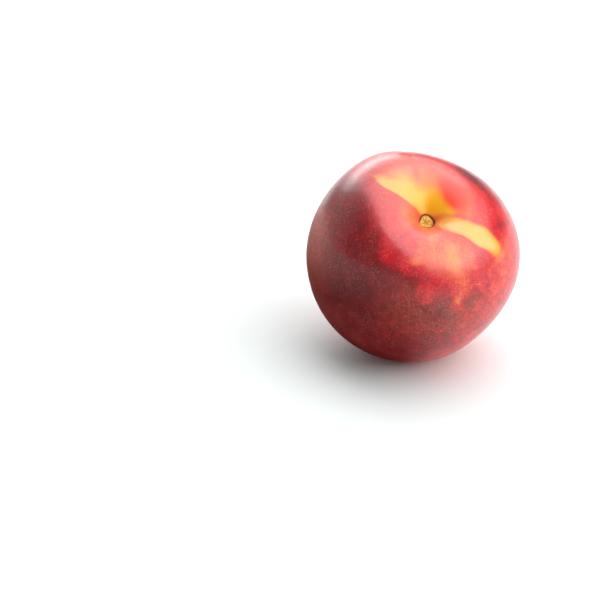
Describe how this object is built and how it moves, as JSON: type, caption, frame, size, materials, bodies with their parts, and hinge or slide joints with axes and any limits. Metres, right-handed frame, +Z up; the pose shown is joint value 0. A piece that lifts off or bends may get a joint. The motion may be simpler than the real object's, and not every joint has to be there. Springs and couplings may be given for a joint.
{
  "type": "nectarine",
  "caption": "Round ripe nectarine with a shallow suture, a funnel-shaped stem hollow holding a short stalk stub, and a small flat spot it rests on.",
  "frame": {"origin": "on the resting surface, under the middle of the fruit's bounding box", "axes": "+Z up from the resting surface; the stem end tips towards -Y and a little towards +X; +X to the right as seen from the stem side"},
  "size_m": [0.072, 0.071, 0.0698],
  "materials": {
    "skin": "satin",
    "stalk": "matte"
  },
  "bodies": {
    "root": {"fruit": "skin", "stem_stub": "stalk"}
  },
  "joints": []
}
